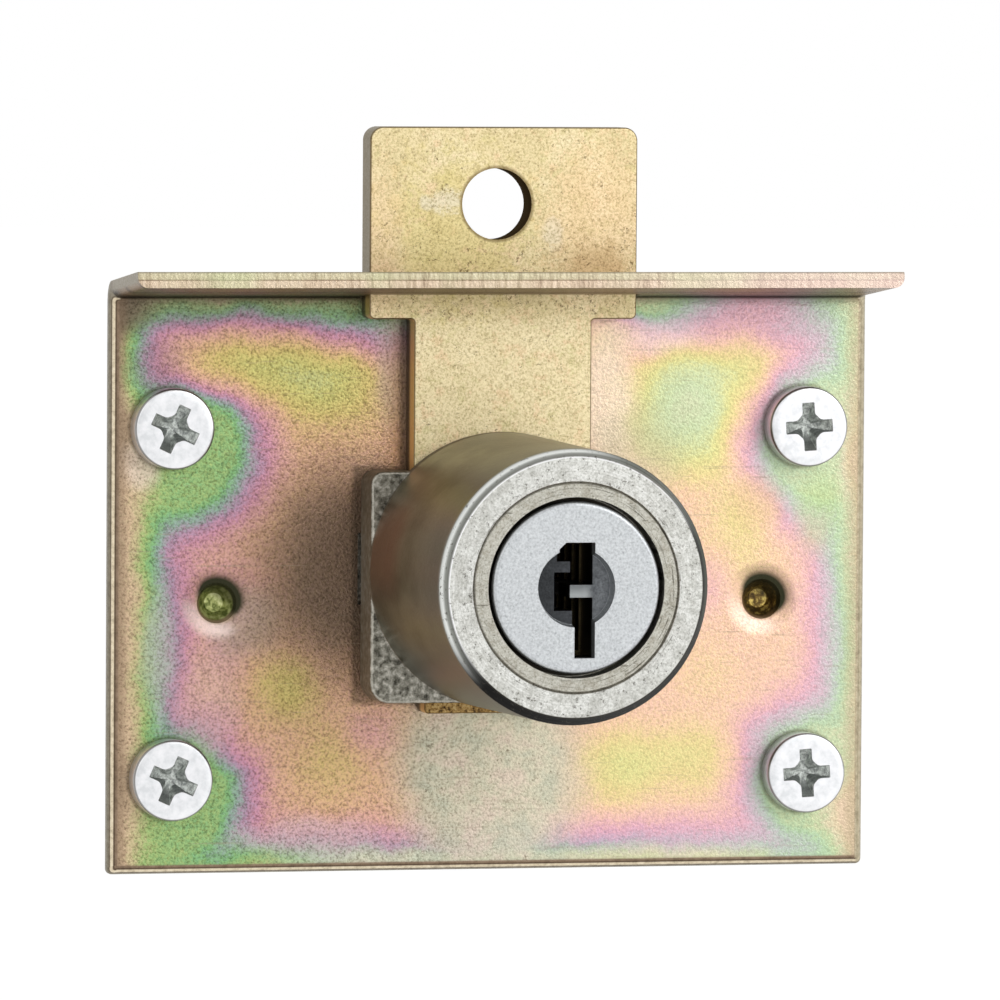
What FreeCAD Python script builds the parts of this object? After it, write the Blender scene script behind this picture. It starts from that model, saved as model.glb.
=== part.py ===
import FreeCAD, Part
import math
import os
from FreeCAD import Vector

# A surface cabinet lock: a bent front plate carries a die-cast cylinder housing,
# and a flat bolt slides up through the plate's top flange when the key plug turns.
# The origin is the centre of the four fixing screws, on the plate's back face.
# +X is right and +Z is up as seen from the key side, and +Y points to the back.
# All sizes are in millimetres.

# Front plate and its top flange, one bent sheet
sheet_thickness = 1.2
plate_width = 58.0
plate_offset_x = 0.25
plate_below_screws = 7.1
flange_above_screws = 10.9
flange_rise_deg = 5.4
flange_reach = 11.3
bend_inner_radius = 0.4
plate_corner_radius = 0.4
plate_edge_radius = 0.8
flange_edge_radius = 0.2

# Fixing screws, metric 3, cross recess, cylinder head
screw_edge_distance = 4.75
screw_spacing_x = plate_width - 2.0 * screw_edge_distance
screw_spacing_z = 26.0
screw_shank_radius = 1.5
screw_length = 10.0
screw_neck_radius = 1.3
screw_neck_reach = 0.15
screw_head_radius = 3.0
screw_head_height = 2.0
screw_head_edge_radius = 0.35
screw_hole_clearance = 0.1
screw_tip_chamfer = 0.5
recess_reach = 1.95
recess_arm_width = 0.95
recess_depth = 1.3
recess_floor_reach = 0.8
recess_floor_width = 0.45
recess_core_half = 1.0
recess_core_floor_half = 0.4
recess_turn_left_deg = -20.0
recess_turn_right_deg = 3.5

# Stamped location dimples beside the housing
dimple_edge_distance = 8.1
dimple_mouth_radius = 1.5
dimple_floor_radius = 0.7
dimple_depth = 1.1
dimple_bump_radius = 1.9
dimple_bump_tip_radius = 1.15
dimple_bump_height = 0.75

# Lock axis, on which the plug turns
axis_x = 0.45
axis_z = 2.45

# Cylinder housing, a zinc casting on two legs
housing_projection = 25.3
housing_front_radius = 10.0
housing_draft = 0.3
housing_rim_radial = 0.55
housing_rim_axial = 0.9
base_side_margin = 0.15
base_above_axis = 7.4
base_below_axis = 9.8
base_thickness = 3.4
base_top_corner_radius = 0.95
base_bottom_corner_radius = 1.5
base_edge_radius = 0.25
lip_height = 1.2
lug_height = 5.2
lug_width = 2.5
lug_inset = 0.3
lug_slot_gap = 0.1
lug_slot_outer_gap = 0.25
lug_head_margin = 0.4
lug_head_height = 0.5
lug_head_edge_radius = 0.3

# Bolt, a flat stamping with a wide head, a neck and a narrower tail
bolt_thickness = 2.5
bolt_head_overhang = 0.05
bolt_neck_width = 13.55
bolt_tail_width = 11.7
bolt_throw = 11.0
bolt_retracted_stand = 0.45
bolt_retracted_gap = 0.25
bolt_tail_margin = 0.9
bolt_head_corner_radius = 1.0
bolt_shoulder_corner_radius = 0.45
bolt_inner_corner_radius = 0.25
bolt_tail_corner_radius = 0.35
bolt_edge_radius = 0.15
bolt_eye_radius = 2.65
bolt_eye_below_top = 5.7
bolt_eye_offset_x = -0.55
bolt_side_clearance = 0.1
bolt_face_clearance = 0.1
flange_slot_side_clearance = 0.15
flange_slot_front_clearance = 0.25

# Core sleeve pressed into the housing
sleeve_radius = 7.6
sleeve_wall = 1.85
sleeve_mouth_wall = 1.05
sleeve_mouth_gap = 0.33
sleeve_mouth_depth = 2.0
sleeve_groove_wall = 0.7
joint_line_chamfer = 0.1

# Key plug
plug_bore_clearance = 0.05
plug_head_edge_radius = 0.3
plug_end_play = 0.1
plug_keyway_length = 16.7
plug_stub_size = 5.0
plug_stub_length = 1.15
recess_radius = 2.87
recess_taper = 0.17
plug_recess_depth = 0.8

# Keyway outline, right and up from the plug's centre
keyway_right = 1.38
keyway_top = 3.27
keyway_top_left = -1.29
keyway_top_corner = 0.5
keyway_foot_left = -0.14
keyway_foot_wall = 0.6
keyway_ward_tip = -0.3
left_ward_top = 1.86
left_ward_bottom = 1.08
right_ward_top = 0.16
right_ward_bottom = -0.75
left_notch_x = -1.48
left_notch_bottom = -1.71

# Wafers, one spring each
wafer_count = 6
wafer_thickness = 0.9
wafer_pitch = 2.2
wafer_first_depth = 4.2
wafer_width = 5.0
wafer_travel = 1.0
wafer_slot_clearance = 0.1
wafer_tip_clearance = 0.05
wafer_window_left = -1.6
wafer_window_right = 1.22
wafer_window_top = 3.0
wafer_foot_rail = 0.9
wafer_code_step = 0.4
wafer_codes = (0, 2, 1, 3, 1, 2)
wafer_ear_length = 1.1
wafer_ear_height = 1.0
spring_length = 2.9
spring_diameter = 0.9
spring_wire = 0.16
spring_turns = 5

# Drive cam, its eccentric pin and its screw
cam_rim = 0.6
cam_clearance = 0.1
cam_thickness = 2.2
cam_web = 1.2
cam_stub_clearance = 0.05
pin_radius = 1.0
pin_tip_chamfer = 0.2
pin_plate_gap = 0.3
pin_seat_depth = 2.1
notch_clearance = 1.2
notch_side_clearance = 0.3
cam_screw_radius = 1.25
cam_screw_head_radius = 2.3
cam_screw_head_height = 1.0
cam_screw_length = 4.6
cam_screw_slot_width = 0.6
cam_screw_slot_depth = 0.45
fit_clearance = 0.05

# Sizes across and heights, worked out from the sizes above
plate_bottom_z = -screw_spacing_z / 2.0 - plate_below_screws
flange_top_z = screw_spacing_z / 2.0 + flange_above_screws
dimple_spacing = plate_width - 2.0 * dimple_edge_distance
housing_base_radius = housing_front_radius + housing_draft
base_width = 2.0 * (housing_front_radius + base_side_margin)
bolt_head_width = base_width + 2.0 * bolt_head_overhang
bolt_top_z = flange_top_z + bolt_throw + bolt_retracted_stand
bolt_shoulder_z = axis_z + base_above_axis + bolt_throw + bolt_retracted_gap
bolt_tail_z = plate_bottom_z + bolt_throw + bolt_tail_margin
channel_half = bolt_neck_width / 2.0 + bolt_side_clearance
lip_half = bolt_tail_width / 2.0 + bolt_side_clearance
sleeve_bore_radius = sleeve_radius - sleeve_wall
sleeve_mouth_radius = sleeve_radius - sleeve_mouth_wall
sleeve_groove_radius = sleeve_radius - sleeve_groove_wall
plug_head_radius = sleeve_mouth_radius - sleeve_mouth_gap
plug_body_radius = sleeve_bore_radius - plug_bore_clearance
keyway_foot = keyway_foot_wall - plug_body_radius
wafer_window_foot = wafer_foot_rail - plug_body_radius
pin_orbit = bolt_throw / 2.0
cam_radius = pin_orbit + pin_radius + cam_rim

# Levels along Y, worked out from the sizes above
plate_front_y = -sheet_thickness
bolt_back_y = plate_front_y - bolt_face_clearance
bolt_front_y = bolt_back_y - bolt_thickness
channel_y = bolt_front_y - bolt_face_clearance
base_front_y = plate_front_y - base_thickness
face_y = plate_front_y - housing_projection
cam_back_y = channel_y - cam_clearance
cam_front_y = cam_back_y - cam_thickness
sleeve_back_y = cam_front_y - plug_end_play
mouth_y = face_y + sleeve_mouth_depth
plug_shoulder_y = mouth_y - plug_end_play
cam_web_y = cam_back_y - cam_web
stub_back_y = cam_web_y
plug_body_back_y = stub_back_y - plug_stub_length
keyway_back_y = face_y + plug_keyway_length


def box(x_low, x_high, y_low, y_high, z_low, z_high):
    size = Vector(x_high - x_low, y_high - y_low, z_high - z_low)
    return Part.makeBox(size.x, size.y, size.z, Vector(x_low, y_low, z_low))


def rod(x, z, radius, y_low, y_high):
    return Part.makeCylinder(radius, y_high - y_low, Vector(x, y_low, z), Vector(0, 1, 0))


def taper(x, z, radius_low, radius_high, y_low, y_high):
    return Part.makeCone(radius_low, radius_high, y_high - y_low, Vector(x, y_low, z), Vector(0, 1, 0))


def rounded_outline(corners, y):
    """Closed wire through (x, z, radius) corners at one level, with tangent arcs."""
    count = len(corners)
    arcs = []
    ends = []
    for index, (x, z, radius) in enumerate(corners):
        here = Vector(x, y, z)
        if radius == 0.0:
            arcs.append(None)
            ends.append((here, here))
            continue
        before = corners[index - 1]
        after = corners[(index + 1) % count]
        to_before = (Vector(before[0], y, before[1]) - here).normalize()
        to_after = (Vector(after[0], y, after[1]) - here).normalize()
        half_angle = to_before.getAngle(to_after) / 2.0
        reach = radius / math.tan(half_angle)
        start = here + to_before * reach
        end = here + to_after * reach
        bisector = (to_before + to_after).normalize()
        middle = here + bisector * (radius / math.sin(half_angle) - radius)
        arcs.append(Part.Arc(start, middle, end).toShape())
        ends.append((start, end))
    edges = []
    for index in range(count):
        if arcs[index]:
            edges.append(arcs[index])
        start = ends[index][1]
        end = ends[(index + 1) % count][0]
        edges.append(Part.LineSegment(start, end).toShape())
    return Part.Wire(edges)


def slab(corners, y_low, y_high):
    face = Part.Face(rounded_outline(corners, y_low))
    return face.extrude(Vector(0, y_high - y_low, 0))


def edges_where(shape, test):
    return [edge for edge in shape.Edges if test(edge)]


def all_at(edge, axis, value):
    """True where both ends and the middle of an edge lie at one level along an axis."""
    middle = edge.valueAt((edge.FirstParameter + edge.LastParameter) / 2.0)
    points = [vertex.Point for vertex in edge.Vertexes] + [middle]
    return all(abs(point[axis] - value) < 1e-5 for point in points)


def export(shape, node):
    shape.exportStep(os.path.join("parts", node + ".step"))


def screw_places():
    half_x = screw_spacing_x / 2.0
    half_z = screw_spacing_z / 2.0
    left = recess_turn_left_deg
    right = recess_turn_right_deg
    return {
        "screw_top_left": (-half_x, half_z, left),
        "screw_top_right": (half_x, half_z, right),
        "screw_bottom_left": (-half_x, -half_z, left),
        "screw_bottom_right": (half_x, -half_z, right),
    }


def front_plate():
    """The sheet bent towards the key side, with its slots, holes and dimples."""
    rise = math.radians(flange_rise_deg)
    outer_radius = bend_inner_radius + sheet_thickness
    centre_y = -outer_radius
    centre_z = flange_top_z - outer_radius * math.cos(rise)
    turn = (math.pi / 2.0 - rise) / 2.0

    def on_bend(radius, angle):
        return Vector(0, centre_y + radius * math.cos(angle), centre_z + radius * math.sin(angle))

    top_start = on_bend(outer_radius, 2.0 * turn)
    under_start = on_bend(bend_inner_radius, 2.0 * turn)
    along = Vector(0, -math.cos(rise), math.sin(rise))
    under_run = (flange_reach + under_start.y) / math.cos(rise)
    top_front = top_start + along * under_run
    under_front = under_start + along * under_run
    back_low = Vector(0, 0, plate_bottom_z)
    front_low = Vector(0, plate_front_y, plate_bottom_z)
    back_high = on_bend(outer_radius, 0.0)
    front_high = on_bend(bend_inner_radius, 0.0)
    profile = Part.Wire([
        Part.LineSegment(back_low, back_high).toShape(),
        Part.Arc(back_high, on_bend(outer_radius, turn), top_start).toShape(),
        Part.LineSegment(top_start, top_front).toShape(),
        Part.LineSegment(top_front, under_front).toShape(),
        Part.LineSegment(under_front, under_start).toShape(),
        Part.Arc(under_start, on_bend(bend_inner_radius, turn), front_high).toShape(),
        Part.LineSegment(front_high, front_low).toShape(),
        Part.LineSegment(front_low, back_low).toShape(),
    ])
    sheet = Part.Face(profile).extrude(Vector(plate_width, 0, 0))
    sheet.translate(Vector(plate_offset_x - plate_width / 2.0, 0, 0))

    x_ends = (plate_offset_x - plate_width / 2.0, plate_offset_x + plate_width / 2.0)
    foot_corners = edges_where(sheet, lambda edge: all_at(edge, 2, plate_bottom_z)
                               and any(all_at(edge, 0, x_end) for x_end in x_ends))
    sheet = sheet.makeFillet(plate_corner_radius, foot_corners)
    front_rim = edges_where(sheet, lambda edge: all_at(edge, 1, plate_front_y)
                            and not all_at(edge, 2, front_high.z))
    sheet = sheet.makeFillet(plate_edge_radius, front_rim)
    flange_rim = edges_where(sheet, lambda edge: all_at(edge, 2, top_front.z))
    sheet = sheet.makeFillet(flange_edge_radius, flange_rim)

    slot_half = bolt_head_width / 2.0 + flange_slot_side_clearance
    slot_front = bolt_front_y - flange_slot_front_clearance
    sheet = sheet.cut(box(axis_x - slot_half, axis_x + slot_half, slot_front, plate_front_y,
                          front_high.z, flange_top_z + flange_reach))

    outer_edge = base_width / 2.0 + lug_slot_outer_gap
    inner_edge = base_width / 2.0 - lug_inset - lug_width - lug_slot_gap
    slot_half_height = lug_height / 2.0 + lug_slot_gap
    for side in (-1, 1):
        edge_places = sorted((axis_x + side * inner_edge, axis_x + side * outer_edge))
        sheet = sheet.cut(box(edge_places[0], edge_places[1], plate_front_y, 0.0,
                              axis_z - slot_half_height, axis_z + slot_half_height))

    hole_radius = screw_shank_radius + screw_hole_clearance
    for x, z, _ in screw_places().values():
        sheet = sheet.cut(rod(x, z, hole_radius, plate_front_y, 0.0))

    for side in (-1, 1):
        x = plate_offset_x + side * dimple_spacing / 2.0
        bump = taper(x, 0.0, dimple_bump_radius, dimple_bump_tip_radius, 0.0, dimple_bump_height)
        floor_y = plate_front_y + dimple_depth
        hollow = taper(x, 0.0, dimple_mouth_radius, dimple_floor_radius, plate_front_y, floor_y)
        sheet = sheet.fuse(bump).cut(hollow)
    return sheet.removeSplitter()


def bolt():
    """The sliding bolt at full throw, with its eye and the notch that the pin works in."""
    head = bolt_head_width / 2.0
    neck = bolt_neck_width / 2.0
    tail = bolt_tail_width / 2.0
    pin_z = axis_z + pin_orbit
    notch_half = pin_radius + notch_clearance
    notch_left = -pin_radius - notch_side_clearance
    inner = bolt_inner_corner_radius
    outline = [
        (-head, bolt_top_z, bolt_head_corner_radius),
        (-head, bolt_shoulder_z, bolt_shoulder_corner_radius),
        (-neck, bolt_shoulder_z, inner),
        (-neck, pin_z, inner),
        (-tail, pin_z, inner),
        (-tail, bolt_tail_z, bolt_tail_corner_radius),
        (tail, bolt_tail_z, bolt_tail_corner_radius),
        (tail, pin_z - notch_half, inner),
        (notch_left, pin_z - notch_half, pin_radius),
        (notch_left, pin_z + notch_half, pin_radius),
        (neck, pin_z + notch_half, inner),
        (neck, bolt_shoulder_z, inner),
        (head, bolt_shoulder_z, bolt_shoulder_corner_radius),
        (head, bolt_top_z, bolt_head_corner_radius),
    ]
    placed = [(axis_x + x, z, radius) for x, z, radius in outline]
    shape = slab(placed, bolt_front_y, bolt_back_y)
    front_edges = edges_where(shape, lambda edge: all_at(edge, 1, bolt_front_y))
    shape = shape.makeFillet(bolt_edge_radius, front_edges)
    eye_x = axis_x + bolt_eye_offset_x
    eye_z = bolt_top_z - bolt_eye_below_top
    return shape.cut(rod(eye_x, eye_z, bolt_eye_radius, bolt_front_y, bolt_back_y))


def cylinder_housing():
    """The casting: a drafted cylinder on a square base, with a channel and two staked lugs."""
    half = base_width / 2.0
    low = axis_z - base_below_axis
    high = axis_z + base_above_axis
    outline = [
        (axis_x - half, low, base_bottom_corner_radius),
        (axis_x + half, low, base_bottom_corner_radius),
        (axis_x + half, high, base_top_corner_radius),
        (axis_x - half, high, base_top_corner_radius),
    ]
    base = slab(outline, base_front_y, plate_front_y)
    front_edges = edges_where(base, lambda edge: all_at(edge, 1, base_front_y))
    base = base.makeFillet(base_edge_radius, front_edges)
    lip_top = low + lip_height
    base = base.cut(box(axis_x - lip_half, axis_x + lip_half, channel_y, plate_front_y, low, high))
    base = base.cut(box(axis_x - channel_half, axis_x + channel_half, channel_y, plate_front_y,
                        lip_top, high))

    rim_y = face_y + housing_rim_axial
    barrel = taper(axis_x, axis_z, housing_front_radius, housing_base_radius, rim_y, channel_y)
    rim_radius = housing_front_radius - housing_rim_radial
    rim = taper(axis_x, axis_z, rim_radius, housing_front_radius, face_y, rim_y)
    body = base.fuse(barrel.fuse(rim))

    for side in (-1, 1):
        outer = half - lug_inset
        inner = outer - lug_width
        places = sorted((axis_x + side * inner, axis_x + side * outer))
        half_height = lug_height / 2.0
        lug = box(places[0], places[1], plate_front_y, lug_head_height,
                  axis_z - half_height, axis_z + half_height)
        head = box(places[0] - lug_head_margin, places[1] + lug_head_margin, 0.0, lug_head_height,
                   axis_z - half_height - lug_head_margin, axis_z + half_height + lug_head_margin)
        rim_edges = edges_where(head, lambda edge: all_at(edge, 1, lug_head_height))
        head = head.makeFillet(lug_head_edge_radius, rim_edges)
        body = body.fuse(lug.fuse(head))

    cam_pocket_radius = cam_radius + cam_clearance
    body = body.cut(rod(axis_x, axis_z, cam_pocket_radius, sleeve_back_y, channel_y))
    body = body.cut(rod(axis_x, axis_z, sleeve_radius, face_y, sleeve_back_y))
    mouth = sleeve_radius + joint_line_chamfer
    body = body.cut(taper(axis_x, axis_z, mouth, sleeve_radius, face_y, face_y + joint_line_chamfer))
    return body.removeSplitter()


def core_sleeve():
    """The ring that the plug runs in, with wafer grooves above and below."""
    lip_y = face_y + joint_line_chamfer
    tube = rod(axis_x, axis_z, sleeve_radius, lip_y, sleeve_back_y)
    tube = tube.fuse(taper(axis_x, axis_z, sleeve_radius - joint_line_chamfer, sleeve_radius, face_y, lip_y))
    tube = tube.cut(rod(axis_x, axis_z, sleeve_bore_radius, face_y, sleeve_back_y))
    tube = tube.cut(rod(axis_x, axis_z, sleeve_mouth_radius, face_y, mouth_y))
    groove_half = wafer_width / 2.0 + wafer_slot_clearance
    groove_front = face_y + wafer_first_depth - wafer_slot_clearance
    tube = tube.cut(box(axis_x - groove_half, axis_x + groove_half, groove_front, sleeve_back_y,
                        axis_z - sleeve_groove_radius, axis_z + sleeve_groove_radius))
    return tube.removeSplitter()


def keyway_outline():
    return [
        (keyway_top_left + keyway_top_corner, keyway_top),
        (keyway_right, keyway_top),
        (keyway_right, right_ward_top),
        (keyway_ward_tip, right_ward_top),
        (keyway_ward_tip, right_ward_bottom),
        (keyway_right, right_ward_bottom),
        (keyway_right, keyway_foot),
        (keyway_foot_left, keyway_foot),
        (keyway_foot_left, left_notch_bottom),
        (left_notch_x, left_notch_bottom),
        (left_notch_x, left_ward_bottom),
        (keyway_ward_tip, left_ward_bottom),
        (keyway_ward_tip, left_ward_top),
        (keyway_top_left, left_ward_top),
        (keyway_top_left, keyway_top - keyway_top_corner),
    ]


def wafer_front_y(index):
    return face_y + wafer_first_depth + index * wafer_pitch


def ear_right():
    return wafer_width / 2.0 + wafer_ear_length


def spring_foot_z():
    return axis_z - wafer_ear_height / 2.0 - spring_length


def plug():
    """The key plug: a flanged head, a keyed body with wafer slots and a square stub."""
    head = rod(axis_x, axis_z, plug_head_radius, face_y, plug_shoulder_y)
    head_rim = edges_where(head, lambda edge: all_at(edge, 1, face_y))
    head = head.makeFillet(plug_head_edge_radius, head_rim)
    shape = head.fuse(rod(axis_x, axis_z, plug_body_radius, plug_shoulder_y, plug_body_back_y))
    stub_half = plug_stub_size / 2.0
    shape = shape.fuse(box(axis_x - stub_half, axis_x + stub_half, plug_body_back_y, stub_back_y,
                           axis_z - stub_half, axis_z + stub_half))
    shape = shape.cut(taper(axis_x, axis_z, recess_radius, recess_radius - recess_taper,
                            face_y, face_y + plug_recess_depth))
    keyway = slab([(axis_x + x, axis_z + z, 0.0) for x, z in keyway_outline()], face_y, keyway_back_y)
    shape = shape.cut(keyway)
    slot_half = wafer_width / 2.0 + wafer_slot_clearance
    pocket_right = ear_right() + wafer_slot_clearance
    pocket_top = axis_z + wafer_ear_height / 2.0 + wafer_travel + wafer_slot_clearance
    margin = wafer_slot_clearance / 2.0
    for index in range(wafer_count):
        y_low = wafer_front_y(index) - margin
        y_high = wafer_front_y(index) + wafer_thickness + margin
        shape = shape.cut(box(axis_x - slot_half, axis_x + slot_half, y_low, y_high,
                              axis_z - plug_body_radius - margin, axis_z + plug_body_radius + margin))
        shape = shape.cut(box(axis_x, axis_x + pocket_right, y_low, y_high, spring_foot_z(), pocket_top))
    screw_front_y = cam_back_y - cam_screw_length
    shape = shape.cut(rod(axis_x, axis_z, cam_screw_radius, screw_front_y, stub_back_y))
    return shape.removeSplitter()


def wafer(index):
    """One spring-loaded plate with the window that the key blade passes through."""
    y_low = wafer_front_y(index)
    y_high = y_low + wafer_thickness
    half = wafer_width / 2.0
    tip_radius = plug_body_radius - wafer_tip_clearance
    plate = box(axis_x - half, axis_x + half, y_low, y_high, axis_z - tip_radius, axis_z + tip_radius)
    plate = plate.common(rod(axis_x, axis_z, tip_radius, y_low, y_high))
    ear_half = wafer_ear_height / 2.0
    plate = plate.fuse(box(axis_x + half, axis_x + ear_right(), y_low, y_high,
                           axis_z - ear_half, axis_z + ear_half))
    foot = wafer_window_foot + wafer_codes[index % len(wafer_codes)] * wafer_code_step
    window = box(axis_x + wafer_window_left, axis_x + wafer_window_right, y_low, y_high,
                 axis_z + foot, axis_z + wafer_window_top)
    return plate.cut(window).removeSplitter()


def arc_to_corner(start, corner, end):
    """Arc from start to end whose tangents there meet at the corner."""
    to_start = (start - corner).normalize()
    to_end = (end - corner).normalize()
    half_angle = to_start.getAngle(to_end) / 2.0
    reach = (start - corner).Length
    radius = reach * math.tan(half_angle)
    bisector = (to_start + to_end).normalize()
    middle = corner + bisector * (radius / math.sin(half_angle) - radius)
    return Part.Arc(start, middle, end).toShape()


def coil_path(radius, rise, turns):
    """Rising coil about the Z axis: each half turn is two arcs that share their tangents."""
    steps = turns * 2
    slope = rise / turns / (2.0 * math.pi * radius)

    def point(step):
        angle = math.pi * step
        return Vector(radius * math.cos(angle), radius * math.sin(angle), rise * step / steps)

    def tangent(step):
        angle = math.pi * step
        return Vector(-math.sin(angle), math.cos(angle), slope).normalize()

    edges = []
    for step in range(steps):
        start, end = point(step), point(step + 1)
        leaving, arriving = tangent(step), tangent(step + 1)
        chord = end - start
        both = chord.dot(leaving + arriving)
        spread = 2.0 * (1.0 - leaving.dot(arriving))
        reach = (math.sqrt(both * both + spread * chord.dot(chord)) - both) / spread
        first_corner = start + leaving * reach
        second_corner = end - arriving * reach
        middle = (first_corner + second_corner) * 0.5
        edges.append(arc_to_corner(start, first_corner, middle))
        edges.append(arc_to_corner(middle, second_corner, end))
    return Part.Wire(edges), tangent(0)


def wafer_spring(index):
    """A coil spring that stands under the wafer's ear, on the plug's pocket floor."""
    mean_radius = (spring_diameter - spring_wire) / 2.0
    path, tangent = coil_path(mean_radius, spring_length - spring_wire, spring_turns)
    section = Part.Wire([Part.makeCircle(spring_wire / 2.0, Vector(mean_radius, 0, 0), tangent)])
    coil = path.makePipeShell([section], True, False)
    x = axis_x + wafer_width / 2.0 + wafer_ear_length / 2.0 + wafer_slot_clearance / 2.0
    y = wafer_front_y(index) + wafer_thickness / 2.0
    coil.translate(Vector(x, y, spring_foot_z() + spring_wire / 2.0))
    return coil


def drive_cam():
    """The disc on the plug's square stub: it drives the pin and keeps the plug in."""
    disc = rod(axis_x, axis_z, cam_radius, cam_front_y, cam_back_y)
    pocket_half = plug_stub_size / 2.0 + cam_stub_clearance
    disc = disc.cut(box(axis_x - pocket_half, axis_x + pocket_half, cam_front_y, cam_web_y,
                        axis_z - pocket_half, axis_z + pocket_half))
    disc = disc.cut(rod(axis_x, axis_z, cam_screw_radius + fit_clearance, cam_web_y, cam_back_y))
    disc = disc.cut(taper(axis_x, axis_z, cam_screw_radius + fit_clearance,
                          cam_screw_head_radius + fit_clearance,
                          cam_back_y - cam_screw_head_height, cam_back_y))
    disc = disc.cut(rod(axis_x, axis_z + pin_orbit, pin_radius, cam_back_y - pin_seat_depth, cam_back_y))
    return disc.removeSplitter()


def drive_pin():
    back = plate_front_y - pin_plate_gap
    pin = rod(axis_x, axis_z + pin_orbit, pin_radius, cam_back_y - pin_seat_depth, back)
    tip = edges_where(pin, lambda edge: all_at(edge, 1, back))
    return pin.makeChamfer(pin_tip_chamfer, tip)


def cam_screw():
    """Countersunk screw that clamps the cam to the plug."""
    front = cam_back_y - cam_screw_length
    head_y = cam_back_y - cam_screw_head_height
    screw = rod(axis_x, axis_z, cam_screw_radius, front, head_y)
    screw = screw.fuse(taper(axis_x, axis_z, cam_screw_radius, cam_screw_head_radius, head_y, cam_back_y))
    slot_half = cam_screw_slot_width / 2.0
    screw = screw.cut(box(axis_x - cam_screw_head_radius, axis_x + cam_screw_head_radius,
                          cam_back_y - cam_screw_slot_depth, cam_back_y,
                          axis_z - slot_half, axis_z + slot_half))
    return screw.removeSplitter()


def rectangle(x, z, half_long, half_wide, y):
    corners = [
        Vector(x - half_long, y, z - half_wide),
        Vector(x + half_long, y, z - half_wide),
        Vector(x + half_long, y, z + half_wide),
        Vector(x - half_long, y, z + half_wide),
    ]
    return Part.makePolygon(corners + corners[:1])


def recess_wedge(x, z, mouth_halves, floor_halves, head_y, turn_deg):
    """A four-sided pit that narrows from the screw head's face to the recess floor."""
    mouth = rectangle(x, z, mouth_halves[0], mouth_halves[1], head_y)
    floor = rectangle(x, z, floor_halves[0], floor_halves[1], head_y + recess_depth)
    wedge = Part.makeLoft([mouth, floor], True, True)
    wedge.rotate(Vector(x, 0, z), Vector(0, 1, 0), turn_deg)
    return wedge


def fixing_screw(x, z, turn_deg):
    """Cylinder-head screw with a cross recess, its head on the key side of the plate."""
    head_y = plate_front_y - screw_head_height
    tip_y = plate_front_y + screw_length
    head = rod(x, z, screw_head_radius, head_y, plate_front_y)
    head_rim = edges_where(head, lambda edge: all_at(edge, 1, head_y))
    head = head.makeFillet(screw_head_edge_radius, head_rim)
    thread_y = screw_neck_reach
    shank = rod(x, z, screw_shank_radius, thread_y, tip_y)
    tip = edges_where(shank, lambda edge: all_at(edge, 1, tip_y))
    shank = shank.makeChamfer(screw_tip_chamfer, tip)
    neck = rod(x, z, screw_neck_radius, plate_front_y, thread_y)
    screw = head.fuse(neck).fuse(shank)
    arm = (recess_reach, recess_arm_width / 2.0)
    arm_floor = (recess_floor_reach, recess_floor_width / 2.0)
    core = (recess_core_half, recess_core_half)
    core_floor = (recess_core_floor_half, recess_core_floor_half)
    screw = screw.cut(recess_wedge(x, z, arm, arm_floor, head_y, -turn_deg))
    screw = screw.cut(recess_wedge(x, z, arm, arm_floor, head_y, 90.0 - turn_deg))
    screw = screw.cut(recess_wedge(x, z, core, core_floor, head_y, 45.0 - turn_deg))
    return screw.removeSplitter()


os.makedirs("parts", exist_ok=True)

export(front_plate(), "front_plate")
export(bolt(), "bolt")
export(cylinder_housing(), "cylinder_housing")
export(core_sleeve(), "core_sleeve")
export(plug(), "plug")
export(drive_cam(), "drive_cam")
export(drive_pin(), "drive_pin")
export(cam_screw(), "cam_screw")

for number in range(wafer_count):
    export(wafer(number), "wafer_%d" % (number + 1))
    export(wafer_spring(number), "wafer_spring_%d" % (number + 1))

for node, place in screw_places().items():
    export(fixing_screw(*place), node)
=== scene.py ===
import bpy, math
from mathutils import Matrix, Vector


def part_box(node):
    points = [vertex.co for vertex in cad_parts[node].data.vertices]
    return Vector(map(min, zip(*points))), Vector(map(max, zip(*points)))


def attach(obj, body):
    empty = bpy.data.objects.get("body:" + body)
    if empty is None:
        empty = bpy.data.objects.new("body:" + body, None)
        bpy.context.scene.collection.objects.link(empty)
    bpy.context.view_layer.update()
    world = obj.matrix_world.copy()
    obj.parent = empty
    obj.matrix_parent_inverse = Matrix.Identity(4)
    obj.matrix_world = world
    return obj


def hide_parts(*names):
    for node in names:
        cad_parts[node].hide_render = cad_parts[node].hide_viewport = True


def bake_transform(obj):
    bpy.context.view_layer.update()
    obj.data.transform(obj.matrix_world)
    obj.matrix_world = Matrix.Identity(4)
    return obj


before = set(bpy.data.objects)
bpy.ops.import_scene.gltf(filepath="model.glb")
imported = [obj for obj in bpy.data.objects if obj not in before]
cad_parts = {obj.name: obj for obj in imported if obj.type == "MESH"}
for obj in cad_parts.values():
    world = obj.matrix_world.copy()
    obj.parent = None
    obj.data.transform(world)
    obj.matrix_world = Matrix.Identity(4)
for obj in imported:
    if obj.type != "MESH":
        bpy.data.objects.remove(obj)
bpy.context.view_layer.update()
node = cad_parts


# Front plate: one 1.2 mm steel sheet, blanked and bent, with a flange along its top.
# It is zinc plated and yellow chromated, and the film runs through rainbow colours
# where it drained and dried, thickest at the edges and round the screw holes.

def tint(red, green, blue):
    """A colour as a maker mixes it, 0 to 255, turned into what the shaders take."""
    shares = [part / 255 for part in (red, green, blue)]
    return tuple(s / 12.92 if s < 0.0404 else ((s + 0.055) / 1.055) ** 2.4 for s in shares) + (1.0,)


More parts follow.
